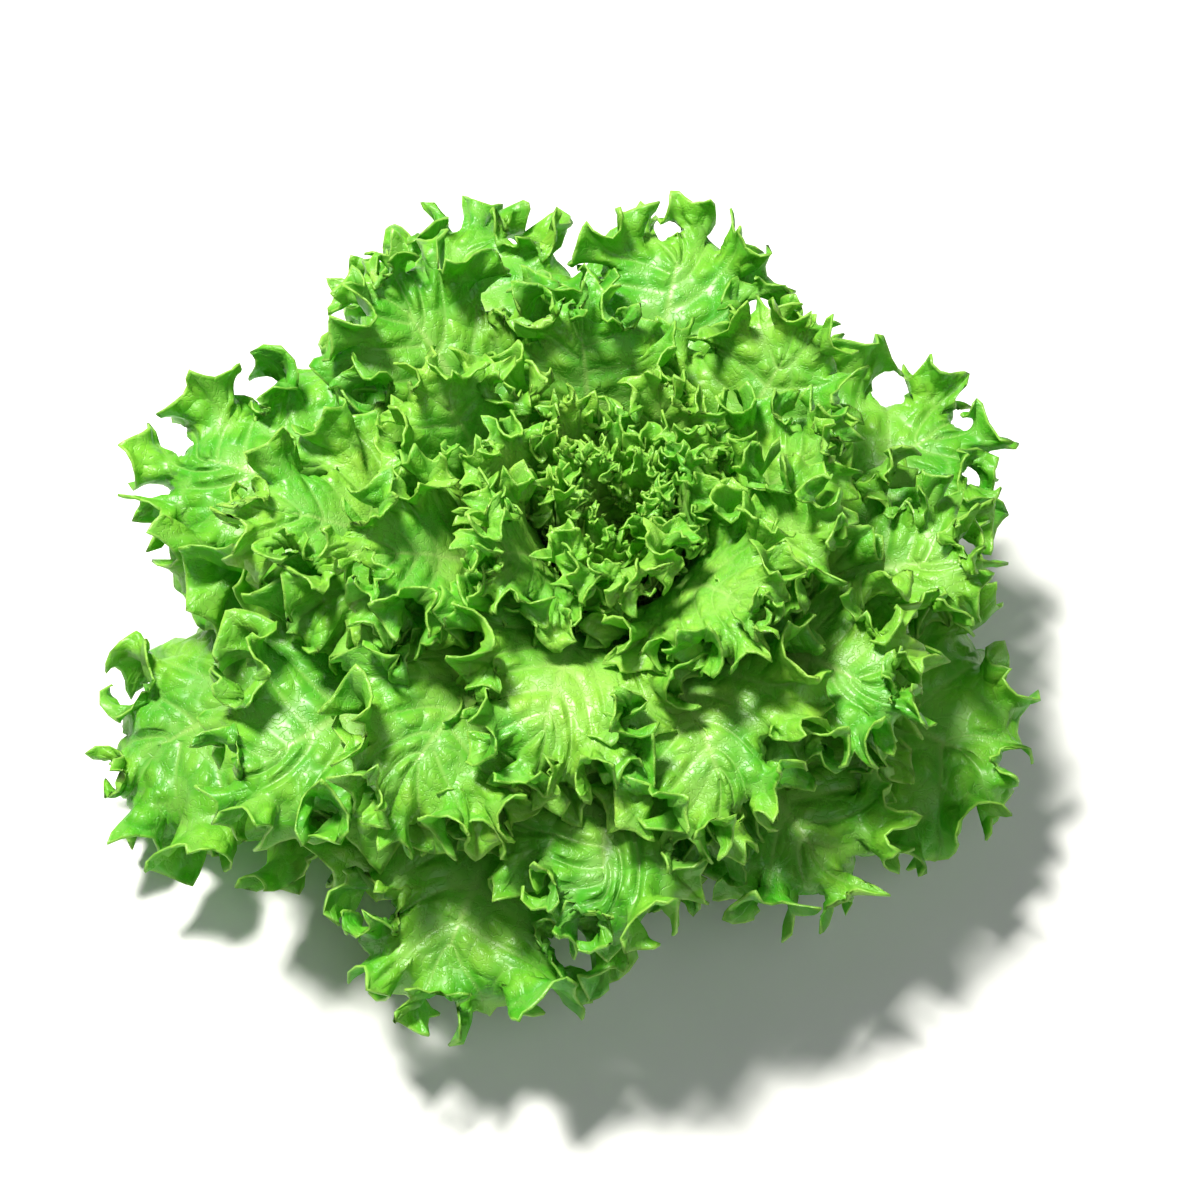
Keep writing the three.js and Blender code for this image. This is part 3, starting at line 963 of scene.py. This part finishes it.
def finished_leaf(index, leaf, rng, surface_tree, material):
    """One leaf as a thin closed solid with its own relief."""
    age = AGES[index]
    piece = leaf_mesh(f"leaf_blade_{index + 1:02d}", index, leaf, rng)
    depth = leaf_depths(piece.data, age)
    group = piece.vertex_groups.new(name="depth")
    for vertex, share in enumerate((depth / depth.max()).tolist()):
        group.add([vertex], share, "REPLACE")
    surface = piece.modifiers.new("surface", "NODES")
    surface.node_group = surface_tree
    set_modifier_input(surface, "Swell Size", aged(SWELL_SIZE, age))
    set_modifier_input(surface, "Swell Height", aged(SWELL_HEIGHT, age))
    set_modifier_input(surface, "Vein Depth", VEIN_SINK * aged(VEIN_DEPTH, age))
    set_modifier_input(surface, "Leaf", material)
    body = piece.modifiers.new("body", "SOLIDIFY")
    body.thickness = float(depth.max())
    body.offset = -1
    body.vertex_group = "depth"
    body.thickness_vertex_group = 0
    made_solid(piece)
    piece.vertex_groups.clear()
    return piece


# ---------------------------------------------------------------- the stem

BUTT_RADIUS = 0.016
BUTT_CHAMFER = 0.0012
BUTT_HEIGHT = 0.004
NECK = (0.0165, 0.008)  # (radius, height) below the lowest leaf
STEM_TOP_RISE = 0.005
STEM_RINGS = 16  # from the lowest leaf to the highest
STEM_SIDES = 96
STEM_SWELL = 0.012  # how far the stem is out of round, as a share of its radius
SCAR_COUNT = 7
SCAR_HALF_SIZE = (0.0011, 0.0068, 0.0016)
FLESH_SCALE = 260.0
RING_WAVES = 2600.0  # radians to a metre, for rings 2.4 mm apart
CUT_EDGE = (0.0002, 0.0016)  # heights from the cut face over which it turns into the outside
BROWNED = (0.0115, 0.0165)  # distances from the axis over which the cut face browns
BUTT_TONE = (0.001, 0.012)  # heights over which the outside turns from pale to green
STEM_GREEN = (0.42, 0.60, 0.20, 1)
STEM_PALE = (0.66, 0.70, 0.42, 1)
CUT_FLESH = (0.74, 0.72, 0.50, 1)
RING_COLOUR = (0.50, 0.42, 0.22, 1)
BROWN_RIM = (0.30, 0.15, 0.06, 1)
MOTTLE_COLOUR = (0.52, 0.56, 0.30, 1)


def stem_profile():
    """(radius, height) from the middle of the cut face up to the growing tip."""
    points = [(BUTT_RADIUS * share, 0.0) for share in (0, 0.2, 0.4, 0.6, 0.8)]
    points.append((BUTT_RADIUS - BUTT_CHAMFER, 0.0))
    points.append((BUTT_RADIUS - 0.3 * BUTT_CHAMFER, 0.3 * BUTT_CHAMFER))
    points += [(BUTT_RADIUS, BUTT_CHAMFER), (BUTT_RADIUS, BUTT_HEIGHT), NECK]
    for age in np.linspace(0, 1, STEM_RINGS):
        points.append((aged(STEM_RADIUS, age), aged(ATTACH_HEIGHT, age)))
    top = ATTACH_HEIGHT[1] + STEM_TOP_RISE
    points += [(0.8 * STEM_RADIUS[1], top - 0.002), (0.4 * STEM_RADIUS[1], top - 0.0005), (0, top)]
    return points


def stem_mesh():
    """The stem turned from its profile, with one point on the axis at each end."""
    profile = stem_profile()
    places, faces = [(0, 0, profile[0][1])], []
    for radius, height in profile[1:-1]:
        for side in range(STEM_SIDES):
            angle = 2 * math.pi * side / STEM_SIDES
            swell = STEM_SWELL * math.sin(5 * angle + 90 * height) * smooth(0, 0.002, height)
            swollen = radius * (1 + swell)
            places.append((swollen * math.cos(angle), swollen * math.sin(angle), height))
    places.append((0, 0, profile[-1][1]))
    rings = len(profile) - 2
    for side in range(STEM_SIDES):
        after = (side + 1) % STEM_SIDES
        faces.append((0, 1 + after, 1 + side))
        for ring in range(rings - 1):
            low, high = 1 + ring * STEM_SIDES, 1 + (ring + 1) * STEM_SIDES
            faces.append((low + side, low + after, high + after, high + side))
        last = 1 + (rings - 1) * STEM_SIDES
        faces.append((last + side, last + after, len(places) - 1))
    mesh = bpy.data.meshes.new("cut_stem")
    mesh.from_pydata(places, [], faces)
    mesh.polygons.foreach_set("use_smooth", [True] * len(faces))
    return mesh


def leaf_scar_tree():
    """Scars of stripped leaves: flat lenses set in a spiral round the foot of the stem."""
    number = "NodeSocketFloat"
    tree, given, out = new_tree(
        "leaf_scars",
        "GeometryNodeTree",
        [("Geometry", "NodeSocketGeometry", None), ("Count", "NodeSocketInt", 7),
         ("Turn", number, GOLDEN_ANGLE), ("Radius", number, 0.016), ("Lowest", number, 0.003),
         ("Rise", number, 0.001), ("Stem", "NodeSocketMaterial", None)],
        [("Geometry", "NodeSocketGeometry")],
    )
    line = add_node(tree, "GeometryNodePoints", {"Count": given.outputs["Count"]})
    index = add_node(tree, "GeometryNodeInputIndex").outputs[0]
    angle = calculate(tree, "MULTIPLY", index, given.outputs["Turn"])
    height = calculate(tree, "MULTIPLY", index, given.outputs["Rise"])
    height = calculate(tree, "ADD", height, given.outputs["Lowest"])
    cosine = calculate(tree, "MULTIPLY", calculate(tree, "COSINE", angle), given.outputs["Radius"])
    sine = calculate(tree, "MULTIPLY", calculate(tree, "SINE", angle), given.outputs["Radius"])
    place = add_node(tree, "ShaderNodeCombineXYZ", {"X": cosine, "Y": sine, "Z": height})
    inputs = {"Geometry": line.outputs[0], "Position": place.outputs[0]}
    placed = add_node(tree, "GeometryNodeSetPosition", inputs)
    lens = add_node(tree, "GeometryNodeMeshUVSphere", {"Segments": 24, "Rings": 12, "Radius": 1.0})
    turn = add_node(tree, "ShaderNodeCombineXYZ", {"Z": angle})
    instances = add_node(
        tree,
        "GeometryNodeInstanceOnPoints",
        {
            "Points": placed.outputs[0],
            "Instance": lens.outputs[0],
            "Rotation": turn.outputs[0],
            "Scale": SCAR_HALF_SIZE,
        },
    )
    joined = add_node(tree, "GeometryNodeJoinGeometry")
    tree.links.new(given.outputs["Geometry"], joined.inputs[0])
    tree.links.new(instances.outputs[0], joined.inputs[0])
    give_out(tree, joined.outputs[0], given.outputs["Stem"], out)
    return tree


def stem_material():
    """Pale fleshy stem; its cut face is damp, with a browned rim and faint rings."""
    material, tree, surface, _ = new_material("stem_flesh")
    coordinates = add_node(tree, "ShaderNodeTexCoord").outputs["Object"]
    axes = add_node(tree, "ShaderNodeSeparateXYZ", {"Vector": coordinates})
    flat = add_node(tree, "ShaderNodeCombineXYZ", {"X": axes.outputs["X"], "Y": axes.outputs["Y"]})
    radius = add_node(
        tree, "ShaderNodeVectorMath", {0: flat.outputs[0]}, operation="LENGTH"
    ).outputs["Value"]
    mottle = noise(tree, coordinates, FLESH_SCALE, 5.0).outputs["Fac"]
    wander = calculate(tree, "MULTIPLY", mottle, 0.002)
    at = calculate(tree, "ADD", radius, wander)
    rings = calculate(tree, "SINE", calculate(tree, "MULTIPLY", at, RING_WAVES))
    cut = fall_between(tree, axes.outputs["Z"], *CUT_EDGE)
    browned = calculate(tree, "MULTIPLY", ramp_between(tree, at, *BROWNED), cut)
    low = fall_between(tree, axes.outputs["Z"], *BUTT_TONE)
    green = mixed_colour(tree, low, STEM_GREEN, STEM_PALE)
    flesh = mixed_colour(tree, cut, green, CUT_FLESH)
    ringed = calculate(tree, "MULTIPLY", ramp_between(tree, rings, 0.2, 1.0), cut)
    ringed = calculate(tree, "MULTIPLY", ringed, 0.3)
    flesh = mixed_colour(tree, ringed, flesh, RING_COLOUR)
    flesh = mixed_colour(tree, browned, flesh, BROWN_RIM)
    mottled = calculate(tree, "MULTIPLY", mottle, 0.3)
    flesh = mixed_colour(tree, mottled, flesh, MOTTLE_COLOUR)
    rough = add_node(tree, "ShaderNodeMapRange", {"Value": mottle, "To Min": 0.35, "To Max": 0.6})
    height = calculate(tree, "MULTIPLY", mottle, 0.0004)
    bump = add_node(tree, "ShaderNodeBump", {"Height": height, "Distance": 1.0})
    tree.links.new(flesh, surface.inputs["Base Color"])
    tree.links.new(rough.outputs["Result"], surface.inputs["Roughness"])
    tree.links.new(bump.outputs["Normal"], surface.inputs["Normal"])
    return material


def finished_stem():
    stem = bpy.data.objects.new("cut_stem", stem_mesh())
    bpy.context.collection.objects.link(stem)
    scars = stem.modifiers.new("scars", "NODES")
    scars.node_group = leaf_scar_tree()
    set_modifier_input(scars, "Count", SCAR_COUNT)
    set_modifier_input(scars, "Stem", stem_material())
    return made_solid(stem)


# ---------------------------------------------------------------- floor, light and camera

FLOOR_SIZE = 20.0
FLOOR_GRAIN_SCALE = 30.0
FLOOR_TONES = ((0.86, 0.86, 0.85, 1), (0.91, 0.91, 0.90, 1))
LIGHTS = (  # name, place, size, power and colour
    ("key", (-0.42, 0.34, 1.36), 0.28, 45, (1.0, 0.98, 0.92)),
    ("fill", (0.5, -0.9, 1.4), 1.0, 6, (0.95, 0.98, 1.0)),
)
SURROUND_STRENGTH = 0.10
VIEW_ELEVATION = math.radians(57)
VIEW_LENS = 80.0
SENSOR_WIDTH = 36.0
FRAMED_WIDTH = 0.384  # width of the view at the head
VIEW_MIDDLE = Vector((-0.0037, -0.0058, 0.060))


def make_floor():
    half = FLOOR_SIZE / 2
    mesh = bpy.data.meshes.new("floor")
    corners = [(-half, -half, 0), (half, -half, 0), (half, half, 0), (-half, half, 0)]
    mesh.from_pydata(corners, [], [(0, 1, 2, 3)])
    floor = bpy.data.objects.new("floor", mesh)
    bpy.context.collection.objects.link(floor)
    material, tree, surface, _ = new_material("pale_floor")
    coordinates = add_node(tree, "ShaderNodeTexCoord").outputs["Object"]
    grain = noise(tree, coordinates, FLOOR_GRAIN_SCALE, 1.0).outputs["Fac"]
    pale = mixed_colour(tree, grain, *FLOOR_TONES)
    tree.links.new(pale, surface.inputs["Base Color"])
    surface.inputs["Roughness"].default_value = 0.7
    mesh.materials.append(material)


def aim(thing, target):
    direction = target - thing.location
    thing.rotation_euler = direction.to_track_quat("-Z", "Y").to_euler()


def add_area_light(name, place, size, power, colour):
    lamp = bpy.data.lights.new(name, "AREA")
    lamp.size = size
    lamp.energy = power
    lamp.color = colour
    holder = bpy.data.objects.new(name, lamp)
    bpy.context.collection.objects.link(holder)
    holder.location = place
    aim(holder, VIEW_MIDDLE)


def make_lights():
    for light in LIGHTS:
        add_area_light(*light)
    world = bpy.data.worlds.new("studio")
    world.use_nodes = True
    background = world.node_tree.nodes["Background"]
    background.inputs["Color"].default_value = (1, 1, 1, 1)
    background.inputs["Strength"].default_value = SURROUND_STRENGTH
    bpy.context.scene.world = world
    bpy.context.scene.view_settings.view_transform = "Standard"


def make_camera():
    camera = bpy.data.cameras.new("camera")
    camera.lens = VIEW_LENS
    camera.sensor_width = SENSOR_WIDTH
    holder = bpy.data.objects.new("camera", camera)
    bpy.context.collection.objects.link(holder)
    distance = FRAMED_WIDTH * VIEW_LENS / SENSOR_WIDTH
    toward = Vector((0, -math.cos(VIEW_ELEVATION), math.sin(VIEW_ELEVATION)))
    holder.location = VIEW_MIDDLE + toward * distance
    aim(holder, VIEW_MIDDLE)
    bpy.context.scene.camera = holder


# ---------------------------------------------------------------- the head put together


def leaf_slot(index):
    """The record's slot of that leaf."""
    subparts = {part["node"]: part["material_slot"] for part in frame["record"]["subparts"]}
    return subparts[f"leaf_{index + 1:02d}"]


def build_head():
    tissue = leaf_tissue_group()
    finishes = {}
    for slot, (greens, sizes) in LEAF_FINISHES.items():
        relief = dict(zip(("Cell Size", "Blister Size", "Blister Height", "Vein Width"), sizes))
        finishes[slot] = leaf_material(slot, tissue, greens, relief)
    surface_tree = leaf_surface_tree()
    leaves = grown_leaves()
    rng = np.random.default_rng(SEED + 1)
    for index in range(LEAF_COUNT):
        slot = leaf_slot(index)
        piece = finished_leaf(index, leaves[index], rng, surface_tree, finishes[slot])
        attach(piece, "root")
        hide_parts(f"leaf_{index + 1:02d}")
    stem = finished_stem()
    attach(stem, "root")
    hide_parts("stem")


build_head()
make_floor()
make_lights()
make_camera()
